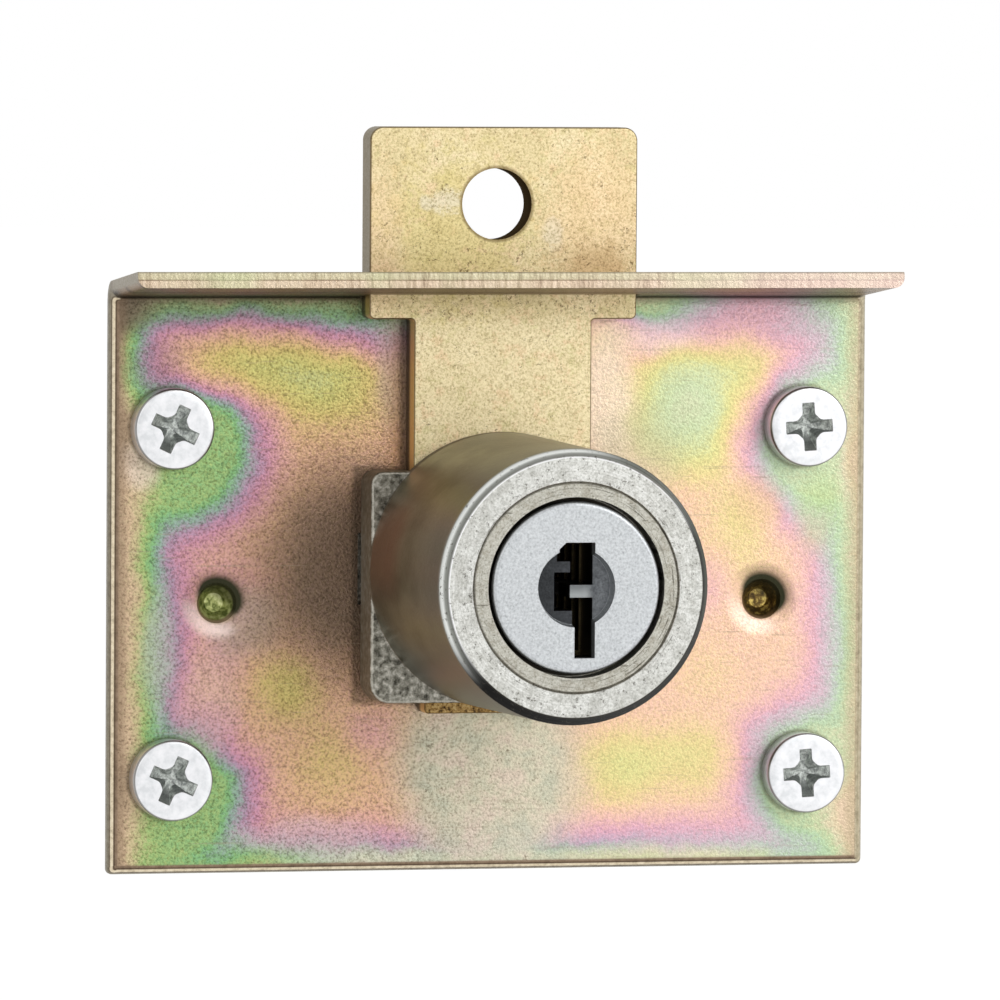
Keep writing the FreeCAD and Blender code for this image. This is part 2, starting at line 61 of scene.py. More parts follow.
def put(tree, kind, feeds=(), **words):
    """Adds a node. Feeds fill its inputs in order; capital words name inputs, small words settings."""
    made = tree.nodes.new("ShaderNode" + kind)
    for word, value in words.items():
        if word[0].islower():
            setattr(made, word, value)
    inputs = [socket for socket in made.inputs if socket.enabled]
    pairs = list(zip(inputs, feeds))
    pairs += [(made.inputs[word.replace("_", " ")], value)
              for word, value in words.items() if word[0].isupper()]
    for socket, value in pairs:
        if isinstance(value, bpy.types.NodeSocket):
            tree.links.new(value, socket)
        elif value is not None:
            socket.default_value = value
    return next(socket for socket in made.outputs if socket.enabled)


def sum_up(tree, doing, *values, **words):
    return put(tree, "Math", values, operation=doing, **words)


def times(tree, first, *others):
    """The product of several values."""
    for other in others:
        first = sum_up(tree, "MULTIPLY", first, other)
    return first


def plus(tree, first, other):
    return sum_up(tree, "ADD", first, other)


def less(tree, first, other):
    return sum_up(tree, "SUBTRACT", first, other)


def most(tree, first, other):
    return sum_up(tree, "MAXIMUM", first, other)


def least(tree, first, other):
    return sum_up(tree, "MINIMUM", first, other)


def size_of(tree, value):
    """The value without its sign."""
    return sum_up(tree, "ABSOLUTE", value)


def apart(tree, vector):
    """The three parts of a vector."""
    return tuple(put(tree, "SeparateXYZ", (vector,)).node.outputs)


def ease(tree, value, start, end, low=0.0, high=1.0):
    """Goes smoothly from low to high while the value goes from start to end."""
    return put(tree, "MapRange", (value, start, end, low, high), interpolation_type="SMOOTHSTEP")


def cast(tree, value, stops):
    """Colours along a scale: stops are (position, colour)."""
    colour = put(tree, "ValToRGB", (value,))
    ramp = colour.node.color_ramp
    while len(ramp.elements) < len(stops):
        ramp.elements.new(1.0)
    for element, (position, shade) in zip(ramp.elements, stops):
        element.position = position
        element.color = tint(*shade)
    return colour


def layer(tree, share, under, over, blend="MIX"):
    mixed = put(tree, "Mix", data_type="RGBA", blend_type=blend)
    mix = mixed.node
    for socket, value in ((mix.inputs[0], share), (mix.inputs[6], under), (mix.inputs[7], over)):
        if isinstance(value, bpy.types.NodeSocket):
            tree.links.new(value, socket)
        else:
            socket.default_value = value
    return mix.outputs[2]


def grain(tree, place, size, detail=2.0, rough=0.5):
    """Fine even mottling whose lumps are about size millimetres across."""
    return put(tree, "TexNoise", Vector=place, Scale=1.0 / size, Detail=detail, Roughness=rough)


def new_finish(name):
    """An empty metal finish, with its place in millimetres from the plate's centre."""
    finish = bpy.data.materials.new(name)
    finish.use_nodes = True
    tree = finish.node_tree
    metal = tree.nodes["Principled BSDF"]
    there = put(tree, "TexCoord").node
    place = put(tree, "VectorMath", (there.outputs["Object"],), operation="SCALE", Scale=1000.0)
    return finish, tree, metal, place, there.outputs["Normal"]


def relief(tree, metal, height, depth_mm, strength=1.0):
    bumped = put(tree, "Bump", Strength=strength, Distance=depth_mm / 1000.0, Height=height)
    tree.links.new(bumped, metal.inputs["Normal"])


def dress(piece, finish):
    for slot in piece.material_slots:
        slot.material = finish


PLATE_MIDDLE_X = 0.25
PLATE_HALF_WIDTH = 29.0
PLATE_FOOT_Z = -20.1
PLATE_FRONT_Y = -1.2
FLANGE_REACH = 11.3
SCREW_X, SCREW_Z = 24.25, 13.0


def chromated_plate():
    finish, tree, metal, place, facing = new_finish("rainbow_chromate")
    wander = put(tree, "TexNoise", Vector=place, Scale=0.30, Detail=2.0).node.outputs["Color"]
    drift = put(tree, "VectorMath", (wander, (0.5, 0.5, 0.5)), operation="SUBTRACT")
    drift = put(tree, "VectorMath", (drift,), operation="SCALE", Scale=1.9)
    behind = ease(tree, apart(tree, place)[1], -0.5, -0.3)
    turned_over = put(tree, "VectorMath", (place, (-1.0, 1.0, 1.0)), operation="MULTIPLY")
    wet = put(tree, "VectorMath", (layer(tree, behind, place, turned_over), drift), operation="ADD")
    x, y, z = apart(tree, wet)
    real_x, real_y, real_z = apart(tree, place)

    def blot(centre_x, centre_z, half_x, half_z, lean=0.0):
        """Distance from a spot's middle, 1 at its outline; the lean is in degrees."""
        spot = put(tree, "Mapping", vector_type="TEXTURE", Vector=wet, Location=(centre_x, 0.0, centre_z),
                   Rotation=(0.0, math.radians(-lean), 0.0), Scale=(half_x, 1000.0, half_z))
        return put(tree, "VectorMath", (spot,), operation="LENGTH")

    # the film is thickest at the cut edges and round the screw holes, where the bath ran off last
    inward = less(tree, PLATE_HALF_WIDTH + 0.2, size_of(tree, less(tree, x, PLATE_MIDDLE_X)))
    ran_off = times(tree, ease(tree, x, -20.0, -25.0), ease(tree, z, 9.0, 16.0, 1.4, 0.2))
    inward = less(tree, inward, ran_off)
    inward = sum_up(tree, "SMOOTH_MIN", inward, plus(tree, z, 21.5), 2.5)
    on_flange = ease(tree, y, -1.6, -3.5)
    top = put(tree, "Mix", (on_flange, less(tree, 23.4, z), plus(tree, y, FLANGE_REACH)), data_type="FLOAT")
    inward = sum_up(tree, "SMOOTH_MIN", inward, top, 2.5)
    for hole_x, hole_z, half_x, half_z, reach in (
            (-24.2, 11.2, 1.08, 0.92, 2.7), (-24.2, -14.8, 1.0, 1.0, 2.45),
            (25.8, 11.8, 1.0, 1.0, 2.45), (25.5, -13.5, 1.0, 1.0, 2.0)):
        washed = most(tree, less(tree, blot(hole_x, hole_z, half_x, half_z), reach), 1.6)
        inward = sum_up(tree, "SMOOTH_MIN", inward, washed, 3.0)
    film = put(tree, "MapRange", (inward, 0.0, 6.5, 1.0, 0.0))
    film = sum_up(tree, "MULTIPLY_ADD", sum_up(tree, "POWER", film, 1.3), 0.5, 0.5)

    # stains where drops hung: x, z, half length, half height, change of the film, lean
    for stain_x, stain_z, half_x, half_z, change, lean in (
            (-17.5, 18.0, 11.5, 5.2, -0.23, -10), (-11.5, 15.6, 6.0, 5.5, -0.10, 0),
            (-20.5, -1.0, 6.0, 10.5, 0.09, 0), (-15.5, -6.5, 5.0, 3.6, -0.12, -35),
            (-12.0, -12.0, 4.5, 4.5, -0.07, 0), (-9.0, -10.0, 3.0, 3.0, 0.06, 0),
            (-8.4, 18.2, 2.6, 2.6, 0.06, 0), (15.0, 13.8, 5.6, 7.0, -0.23, 0),
            (16.5, 15.5, 10.0, 8.0, -0.19, -10), (19.5, 6.5, 5.0, 8.5, -0.10, 0),
            (17.0, 1.0, 3.0, 3.4, 0.07, 0), (10.0, -12.8, 4.6, 4.4, -0.16, 0),
            (15.0, -11.8, 7.0, 4.2, -0.14, 0), (20.5, 23.6, 9.5, 4.8, -0.32, 0),
            (19.6, 17.6, 4.5, 3.0, -0.10, 0), (-17.0, -18.6, 4.2, 2.6, 0.09, 0),
            (8.4, 20.2, 4.6, 3.2, -0.22, 0),
            (17.0, -5.5, 4.0, 4.0, -0.04, 0), (-28.6, 12.6, 3.4, 4.4, 0.16, 0),
            (-28.4, -12.6, 3.2, 4.6, 0.06, 0), (28.6, -17.0, 4.2, 4.6, 0.16, 0),
            (29.0, 10.0, 2.6, 4.0, 0.10, 0)):
        stain = blot(stain_x, stain_z, half_x, half_z, lean)
        film = plus(tree, film, ease(tree, stain, 0.0, 1.0, change, 0.0))
    speckle = grain(tree, place, 0.22, 3.0, 0.6)
    film = plus(tree, film, times(tree, less(tree, speckle, 0.5), 0.13))
    rainbow = cast(tree, film, [
        (0.00, (218, 216, 190)), (0.08, (216, 218, 182)), (0.16, (202, 218, 172)), (0.24, (212, 218, 158)),
        (0.31, (222, 216, 138)), (0.40, (230, 208, 138)), (0.48, (240, 198, 158)), (0.56, (236, 184, 174)),
        (0.63, (222, 164, 184)), (0.69, (194, 162, 186)), (0.75, (164, 186, 176)), (0.81, (148, 200, 140)),
        (0.87, (180, 206, 136)), (0.93, (216, 204, 158)), (1.00, (226, 198, 166))])
    vivid = times(tree, ease(tree, real_x, -14.0, 14.0, 1.04, 0.90), ease(tree, real_y, -0.5, -0.3, 1.0, 0.72))
    rainbow = put(tree, "HueSaturation", Color=rainbow, Saturation=vivid)
    paler = times(tree, ease(tree, film, 0.58, 0.70), ease(tree, film, 0.98, 0.90))
    paler = times(tree, paler, ease(tree, real_x, 4.0, 20.0, 0.0, 0.36), ease(tree, real_z, -16.0, -10.0, 0.8, 1.0))
    rainbow = layer(tree, paler, rainbow, tint(228, 218, 208))

    # a bare greyish patch low in the middle, paler places beside the bolt, and painted shade on the left half and
    # beside the barrel
    front_only = ease(tree, real_y, -1.17, -1.05, 1.0, 0.0)
    patch = most(tree, ease(tree, blot(0.2, -12.5, 8.6, 11.0), 1.08, 0.5),
                 ease(tree, blot(-2.0, -20.6, 14.5, 2.9), 1.05, 0.6))
    patch = times(tree, patch, 0.93, front_only)
    # painted shade under the flange, on the top left
    flange_shade = times(tree, ease(tree, z, 20.2, 22.0, 0.0, 0.45), ease(tree, real_x, 8.0, -8.0))
    rainbow = layer(tree, times(tree, flange_shade, front_only), rainbow, tint(146, 142, 128))
    patch_tone = cast(tree, grain(tree, wet, 2.2, 3.0, 0.6), [
        (0.36, (198, 200, 178)), (0.50, (212, 208, 184)), (0.64, (220, 206, 188))])
    colour = layer(tree, patch, rainbow, patch_tone)
    for pale_x, pale_z, half_x, half_z, share, shade in (
            (8.8, 15.5, 2.8, 7.5, 0.6, (242, 228, 206)), (-7.4, 17.5, 1.9, 6.0, 0.5, (206, 186, 170)),
            (-18.6, -1.4, 4.0, 3.6, 0.55, (178, 172, 146)), (11.4, 11.0, 4.6, 4.4, 0.6, (198, 192, 160)),
            # the brown spot at -28.4, 21.8 is painted shade in the corner under the flange
            (-28.4, 21.8, 3.6, 2.6, 0.9, (134, 118, 100)), (-25.4, 17.6, 3.0, 2.6, 0.35, (150, 120, 132)),
            (-26.4, 10.4, 1.9, 2.2, 0.75, (245, 225, 206)), (-25.2, -3.4, 1.6, 6.2, 0.5, (218, 206, 202)),
            (14.0, -19.6, 10.0, 1.5, 0.5, (240, 214, 178)), (-10.0, -19.6, 8.0, 1.5, 0.4, (246, 244, 220)),
            (25.6, 6.4, 2.4, 4.2, 0.45, (186, 208, 136)), (20.6, 7.4, 2.8, 2.8, 0.4, (216, 192, 132)),
            (14.2, 13.6, 4.2, 4.2, 0.3, (186, 200, 150)), (-21.2, -7.0, 3.2, 5.5, 0.4, (240, 205, 190)),
            (-13.5, -17.6, 7.5, 1.9, 0.45, (236, 214, 206)), (13.0, 19.8, 4.5, 1.6, 0.35, (250, 236, 226))):
        spot = times(tree, ease(tree, blot(pale_x, pale_z, half_x, half_z), 1.1, 0.3), share)
        colour = layer(tree, times(tree, spot, front_only), colour, tint(*shade))
    # painted shade: the left half is darker, and beside the barrel the plate is darker still, painted as the barrel's
    # dark reflection and shadow
    dull = ease(tree, real_x, -16.0, 10.0, 0.80, 0.95)
    barrel_reflection_shade = ease(tree, blot(-11.6, 2.2, 9.4, 11.5), 0.20, 1.0, 0.52, 1.0)
    tone = put(tree, "Mix", (front_only, 1.0, times(tree, dull, barrel_reflection_shade)), data_type="FLOAT")
    colour = layer(tree, 1.0, colour, put(tree, "CombineColor", (tone, tone, tone)), "MULTIPLY")
    barrel_shadow_share = times(tree, ease(tree, blot(-11.0, 2.6, 7.4, 10.0), 1.0, 0.35, 0.0, 0.6), front_only)
    colour = layer(tree, barrel_shadow_share, colour, tint(104, 93, 80))

    # painted contact shadow in the corners beside the foot, the bolt and the screw heads, and in a band under the
    # flange
    foot_half_width, foot_half_height, foot_middle_z = 9.9, 8.4, 1.25
    bolt_half_width, bolt_middle_x, foot_top_z = 6.75, 0.45, 9.0
    beside_foot = most(tree, less(tree, size_of(tree, real_x), foot_half_width),
                       less(tree, size_of(tree, less(tree, real_z, foot_middle_z)), foot_half_height))
    beside_bolt = less(tree, size_of(tree, less(tree, real_x, bolt_middle_x)), bolt_half_width)
    beside_bolt = most(tree, beside_bolt, less(tree, foot_top_z, real_z))
    contact_shade = most(tree, ease(tree, beside_foot, 0.75, 0.2), ease(tree, beside_bolt, 0.8, 0.3))
    for screw_x in (-SCREW_X, SCREW_X):
        for screw_z in (-SCREW_Z, SCREW_Z):
            off = put(tree, "VectorMath", (place, (screw_x, PLATE_FRONT_Y, screw_z)), operation="DISTANCE")
            contact_shade = most(tree, contact_shade, ease(tree, off, 3.35, 3.05, 0.0, 0.85))
    contact_shade = most(tree, contact_shade, ease(tree, real_z, 21.9, 22.6))
    colour = layer(tree, times(tree, contact_shade, 0.62, front_only), colour, tint(72, 60, 46))

    # leathery grain of the rolled steel, dark specks and a few long fine scratches
    leather = grain(tree, place, 0.18, 3.0, 0.62)
    shade = cast(tree, leather, [(0.32, (160, 157, 150)), (0.46, (228, 226, 222)), (0.60, (255, 255, 255))])
    colour = layer(tree, ease(tree, real_x, -12.0, 12.0, 0.85, 0.35), colour, shade, "MULTIPLY")
    pits = grain(tree, place, 0.55, 4.0, 0.8)
    more = ease(tree, patch, 0.0, 0.6, 0.0, 0.075)
    colour = layer(tree, ease(tree, plus(tree, pits, more), 0.69, 0.75, 0.0, 0.7), colour, tint(96, 84, 62))
    long_ways = put(tree, "Mapping", Vector=place, Rotation=(0.0, 0.09, 0.0), Scale=(0.10, 1.0, 3.4))
    scratches = put(tree, "TexNoise", Vector=long_ways, Scale=1.0, Detail=3.0, Roughness=0.75)
    colour = layer(tree, ease(tree, scratches, 0.63, 0.69, 0.0, 0.35), colour, tint(150, 136, 116))

    # rolled and sheared edges, where the film is thin and the steel is burnished; across the rounded edges the colour
    # runs in painted reflection bands, light and dark by the angle of the surface and paler on the right-hand edge
    nx, ny, nz = apart(tree, facing)
    tilt = sum_up(tree, "SQRT", less(tree, 1.0, least(tree, times(tree, ny, ny), 1.0)))
    edge_reflection_tone = cast(tree, tilt, [
        (0.14, (150, 128, 108)), (0.34, (140, 120, 100)), (0.42, (92, 76, 60)), (0.49, (112, 94, 76)),
        (0.56, (236, 222, 194)), (0.74, (236, 223, 197)), (0.80, (98, 86, 70)), (0.88, (146, 138, 120)),
        (1.00, (138, 130, 112))])
    edge_reflection_tone = layer(tree, times(tree, ease(tree, nx, 0.05, 0.3), 0.8), edge_reflection_tone, tint(196, 186, 158))
    worn = cast(tree, grain(tree, place, 0.5, 4.0, 0.7), [
        (0.36, (150, 140, 124)), (0.50, (226, 221, 212)), (0.62, (255, 255, 255))])
    edge_reflection_tone = layer(tree, 0.5, edge_reflection_tone, worn, "MULTIPLY")
    rim = least(tree, less(tree, PLATE_HALF_WIDTH - 0.05, size_of(tree, less(tree, real_x, PLATE_MIDDLE_X))),
                plus(tree, real_z, 0.2 - PLATE_FOOT_Z))
    on_rim = times(tree, ease(tree, rim, 1.3, 1.0), ease(tree, tilt, 0.05, 0.25))
    sideways = most(tree, ease(tree, real_z, 21.2, 20.4), ease(tree, size_of(tree, nx), 0.05, 0.2))
    on_rim = times(tree, on_rim, sideways, ease(tree, real_y, -1.9, -1.4))
    for inner, outer, share, shade in ((-27.2, -27.9, 0.5, (122, 100, 80)), (27.2, 28.4, 0.45, (164, 152, 116))):
        at_side = times(tree, ease(tree, real_x, inner, outer, 0.0, share), front_only)
        colour = layer(tree, at_side, colour, tint(*shade))
    colour = layer(tree, on_rim, colour, edge_reflection_tone)
    cut_end = times(tree, ease(tree, size_of(tree, nx), 0.5, 0.8), ease(tree, real_y, -1.2, -2.2))
    colour = layer(tree, times(tree, cut_end, 0.85), colour, tint(150, 142, 124))
    cut_front = ease(tree, real_y, -11.0, -11.2)
    two_tone = cast(tree, put(tree, "MapRange", (real_z, 23.5, 24.9, 0.0, 1.0)), [
        (0.00, (140, 124, 102)), (0.12, (196, 178, 156)), (0.44, (208, 188, 166)), (0.50, (132, 114, 92)),
        (0.56, (190, 180, 152)), (0.90, (200, 192, 164)), (1.00, (160, 148, 120))])
    upright = put(tree, "Mapping", Vector=place, Scale=(3.6, 1.0, 0.4))
    sheared = put(tree, "TexNoise", Vector=upright, Scale=1.0, Detail=3.0, Roughness=0.7)
    sheared = cast(tree, sheared, [(0.30, (170, 160, 148)), (0.50, (236, 233, 228)), (0.62, (255, 255, 255))])
    two_tone = layer(tree, 0.8, two_tone, sheared, "MULTIPLY")
    greener = grain(tree, put(tree, "VectorMath", (place, (1.0, 0.0, 0.0)), operation="MULTIPLY"), 9.0, 2.0)
    two_tone = layer(tree, ease(tree, greener, 0.45, 0.65, 0.0, 0.4), two_tone, tint(186, 196, 152))
    two_tone = layer(tree, ease(tree, real_x, 0.0, 26.0, 0.0, 0.55), two_tone, tint(208, 184, 178))
    colour = layer(tree, cut_front, colour, two_tone)
    # painted shade on the flange's underside, darkest at the bend
    underside = times(tree, ease(tree, nz, -0.25, -0.75), ease(tree, real_y, -1.2, -1.5))
    inwards = put(tree, "MapRange", (real_y, -11.3, -1.3, 0.0, 1.0))
    underside_shade_tone = cast(tree, inwards, [
        (0.00, (112, 92, 74)), (0.12, (148, 126, 104)), (0.42, (140, 118, 94)), (0.50, (82, 64, 48)),
        (0.58, (136, 112, 88)), (0.76, (118, 96, 74)), (0.87, (54, 42, 30)), (1.00, (44, 34, 24))])
    colour = layer(tree, times(tree, underside, 0.9), colour, underside_shade_tone)

    # the two dimples: a punched wall and a brassy floor, with painted shade on their upper right side, where wall and
    # floor are painted dark, and a painted highlight on the sheet drawn in round them at the lower left; the left one
    # is the greener and has the brighter painted highlight
    drawn = None
    for dimple_x, lip, lower_wall, floor_stops in (
            (-20.65, 0.6, (178, 154, 126),
             [(0.38, (104, 112, 60)), (0.50, (170, 176, 112)), (0.62, (210, 212, 156))]),
            (21.15, 0.3, (140, 112, 74),
             [(0.38, (60, 46, 24)), (0.52, (110, 88, 44)), (0.64, (196, 172, 96))])):
        off = put(tree, "VectorMath", (place, (dimple_x, PLATE_FRONT_Y, 0.0)), operation="SUBTRACT")
        away = put(tree, "VectorMath", (off,), operation="LENGTH")
        upper_right = put(tree, "VectorMath", (off, (0.5, 0.0, 0.866)), operation="DOT_PRODUCT")
        dip = ease(tree, away, 1.3, 2.9)
        drawn = dip if drawn is None else least(tree, drawn, dip)
        outer = plus(tree, 1.45, ease(tree, upper_right, -1.2, 1.2, 0.0, 0.5))
        wall = put(tree, "MapRange", (less(tree, away, outer), -0.15, 0.25, 1.0, 0.0))
        wall = times(tree, wall, ease(tree, real_y, -0.15, -0.25))
        lower_left_highlight = times(tree, ease(tree, away, 3.0, 2.0), ease(tree, upper_right, -0.4, -1.6, 0.0, lip))
        colour = layer(tree, times(tree, lower_left_highlight, front_only), colour, tint(246, 226, 218))
        shaded = times(tree, ease(tree, away, 2.9, 1.8), ease(tree, upper_right, 0.0, 1.6, 0.0, 0.6))
        colour = layer(tree, times(tree, shaded, front_only), colour, tint(96, 78, 60))
        wall_tone = layer(tree, ease(tree, upper_right, -0.9, 0.3), tint(*lower_wall), tint(46, 46, 28))
        colour = layer(tree, wall, colour, wall_tone)
        floor_share = times(tree, ease(tree, away, 1.5, 1.3), ease(tree, real_y, -1.0, -0.8))
        floor_tone = cast(tree, grain(tree, place, 0.5, 3.0, 0.6), floor_stops)
        floor_tone = layer(tree, ease(tree, upper_right, 0.0, 0.9, 0.0, 0.75), floor_tone, tint(46, 46, 26))
        colour = layer(tree, floor_share, colour, floor_tone)
    tree.links.new(colour, metal.inputs["Base Color"])
    metal.inputs["Metallic"].default_value = 0.8
    tree.links.new(ease(tree, leather, 0.3, 0.7, 0.46, 0.32), metal.inputs["Roughness"])
    height = sum_up(tree, "MULTIPLY_ADD", drawn, 6.0, leather)
    relief(tree, metal, height, 0.045)
    return finish


dress(node["front_plate"], chromated_plate())


# Cylinder housing: a zinc die casting, a drafted barrel on a square foot. The foot
# keeps its grey cast skin, the barrel is polished and chromated olive brown, its face
# is turned bright, and two lugs are staked over at the back of the plate.

AXIS = (0.45, 0.0, 2.45)


def round_the_axis(tree, place):
    """Distance from the lock's axis and the height along it, in millimetres."""
    centred = put(tree, "VectorMath", (place, AXIS), operation="SUBTRACT")
    across = put(tree, "VectorMath", (centred, (1.0, 0.0, 1.0)), operation="MULTIPLY")
    radius = put(tree, "VectorMath", (across,), operation="LENGTH")
    depth = apart(tree, centred)[1]
    return radius, depth, centred


def turned_lines(tree, radius, depth, pitch):
    """Fine rings left by a turning tool."""
    groove = put(tree, "CombineXYZ", (
        sum_up(tree, "DIVIDE", radius, pitch), sum_up(tree, "DIVIDE", depth, pitch), 0.0))
    return put(tree, "TexNoise", Vector=groove, Scale=1.0, Detail=2.0)


def cast_zinc():
    finish, tree, metal, place, facing = new_finish("zinc_casting")
    radius, depth, centred = round_the_axis(tree, place)
    on_face = ease(tree, depth, -25.4, -25.7)
    on_foot = ease(tree, depth, -5.0, -4.7)
    ny, nz = apart(tree, facing)[1:]
    cx, cz = apart(tree, centred)[::2]
    mottle = grain(tree, place, 0.5, 4.0, 0.65)
    fine = grain(tree, place, 0.16, 3.0, 0.7)
    skin = cast(tree, mottle, [
        (0.34, (66, 64, 56)), (0.43, (120, 117, 106)), (0.54, (166, 163, 151)), (0.66, (218, 214, 204))])

    # the barrel's chromate is olive brown and greyer towards the face; the rosy band near the foot at mid height is a
    # painted reflection of the plate
    lengthways = put(tree, "Mapping", Vector=place, Scale=(1.0, 0.6, 1.0))
    patchy = put(tree, "TexNoise", Vector=lengthways, Scale=0.28, Detail=3.0)
    barrel = cast(tree, patchy, [(0.34, (98, 93, 70)), (0.48, (119, 114, 89)), (0.64, (142, 136, 110))])
    rosy = times(tree, ease(tree, depth, -15.0, -10.0),
                 ease(tree, size_of(tree, less(tree, cz, 2.0)), 5.0, 1.0), 0.55)
    barrel = layer(tree, rosy, barrel, tint(170, 122, 98))
    greyer = ease(tree, depth, -14.0, -24.5)
    barrel = layer(tree, times(tree, greyer, 0.7), barrel, tint(122, 120, 108))
    # painted shade on the lower side of the barrel, and a painted dark reflection along its top
    barrel = layer(tree, ease(tree, cz, -1.5, -8.0, 0.0, 0.85), barrel, tint(62, 58, 40))
    top_dark_reflection = times(tree, ease(tree, nz, 0.90, 0.995), ease(tree, depth, -23.0, -14.0))
    barrel = layer(tree, times(tree, top_dark_reflection, 0.7), barrel, tint(52, 46, 28))
    dusty = cast(tree, fine, [(0.30, (190, 190, 190)), (0.60, (255, 255, 255))])
    barrel = layer(tree, 0.6, barrel, dusty, "MULTIPLY")

    # the face is turned bright and pitted; its chamfer is painted as a reflection, light with a bright outer edge
    # towards the upper left, dark towards the lower right with an olive band on the right, and made dull where it is
    # painted dark
    face = cast(tree, fine, [
        (0.28, (150, 149, 142)), (0.40, (190, 190, 184)), (0.55, (213, 213, 208)), (0.72, (228, 228, 224))])
    cloudy = cast(tree, grain(tree, place, 0.9, 3.0, 0.6), [(0.36, (196, 195, 190)), (0.56, (255, 255, 255))])
    face = layer(tree, 0.5, face, cloudy, "MULTIPLY")
    across_rim = put(tree, "MapRange", (radius, 9.35, 10.1, 0.0, 1.0))
    rim_light_reflection = cast(tree, across_rim, [
        (0.00, (200, 201, 197)), (0.10, (250, 250, 250)), (0.24, (120, 121, 115)), (0.46, (150, 152, 146)),
        (0.62, (234, 236, 232)), (0.76, (220, 222, 218)), (0.90, (104, 106, 94)), (1.00, (84, 84, 70))])
    rim_dark_reflection = cast(tree, across_rim, [
        (0.00, (150, 148, 140)), (0.10, (46, 42, 36)), (0.24, (14, 12, 9)), (0.85, (14, 12, 9)),
        (1.00, (60, 55, 44))])
    turned_away = sum_up(tree, "DIVIDE", less(tree, times(tree, cx, 0.55), times(tree, cz, 0.83)), radius)
    chamfer = layer(tree, ease(tree, turned_away, -0.30, 0.25), rim_light_reflection, rim_dark_reflection)
    to_the_right = sum_up(tree, "DIVIDE", plus(tree, times(tree, cx, 0.87), times(tree, cz, 0.5)), radius)
    olive = times(tree, ease(tree, to_the_right, 0.5, 0.85), ease(tree, across_rim, 0.30, 0.50, 0.0, 0.8))
    chamfer = layer(tree, olive, chamfer, tint(72, 76, 64))
    on_chamfer = times(tree, ease(tree, depth, -25.1, -25.4), ease(tree, radius, 9.34, 9.42))
    painted_dark_chamfer = times(tree, on_chamfer, most(tree, olive, ease(tree, turned_away, -0.15, 0.30)))
    pits = grain(tree, place, 0.38, 4.0, 0.84)
    colour = layer(tree, on_foot, barrel, skin)
    colour = layer(tree, on_face, colour, face)
    colour = layer(tree, on_chamfer, colour, chamfer)
    pitted = times(tree, on_face, ease(tree, pits, 0.585, 0.64, 0.0, 0.85))
    colour = layer(tree, pitted, colour, tint(74, 70, 62))
    turn = sum_up(tree, "ARCTAN2", cx, cz)
    arcs = put(tree, "CombineXYZ", (sum_up(tree, "DIVIDE", radius, 0.16), times(tree, turn, 2.6), 0.0))
    arcs = put(tree, "TexNoise", Vector=arcs, Scale=1.0, Detail=3.0, Roughness=0.7)
    scored = times(tree, ease(tree, radius, 8.6, 7.7), on_face, ease(tree, arcs, 0.60, 0.66, 0.0, 0.8))
    colour = layer(tree, scored, colour, tint(70, 66, 58))

    # the foot is dull and brown on its sides, darker towards the top, and rubbed bright along its edges
    side_face = times(tree, ease(tree, ny, -0.5, -0.2), on_foot)
    dull = most(tree, painted_dark_chamfer, times(tree, side_face, 0.85))
    colour = layer(tree, times(tree, side_face, 0.8), colour, tint(120, 105, 84))
    shaded = times(tree, ease(tree, cz, 2.0, 6.0, 0.0, 0.35), on_foot)
    colour = layer(tree, shaded, colour, tint(70, 66, 56))
    rubbed = times(tree, ease(tree, ny, -0.97, -0.90), ease(tree, ny, -0.5, -0.75), on_foot,
                   ease(tree, fine, 0.35, 0.6, 0.3, 0.9))
    colour = layer(tree, rubbed, colour, tint(184, 180, 168))
    groove = times(tree, ease(tree, radius, 7.74, 7.66), on_face)
    colour = layer(tree, groove, colour, cast(tree, fine, [(0.34, (70, 66, 58)), (0.62, (140, 136, 126))]))
    tree.links.new(colour, metal.inputs["Base Color"])
    tree.links.new(ease(tree, dull, 0.0, 1.0, 0.75, 0.15), metal.inputs["Metallic"])
    tree.links.new(ease(tree, dull, 0.0, 1.0, 0.5, 0.05), metal.inputs["Specular IOR Level"])
    rough = put(tree, "Mix", (on_foot, 0.36, 0.52), data_type="FLOAT")
    tree.links.new(rough, metal.inputs["Roughness"])
    rings = turned_lines(tree, radius, depth, 0.12)
    height = put(tree, "Mix", (on_face, mottle, rings), data_type="FLOAT")
    relief(tree, metal, height, 0.02)
    return finish


dress(node["cylinder_housing"], cast_zinc())


# Core sleeve: a ring of bare zinc pressed into the barrel, which the plug runs in.
# Its mouth round the plug is painted dark as shade in the gap, and it has wafer grooves inside.

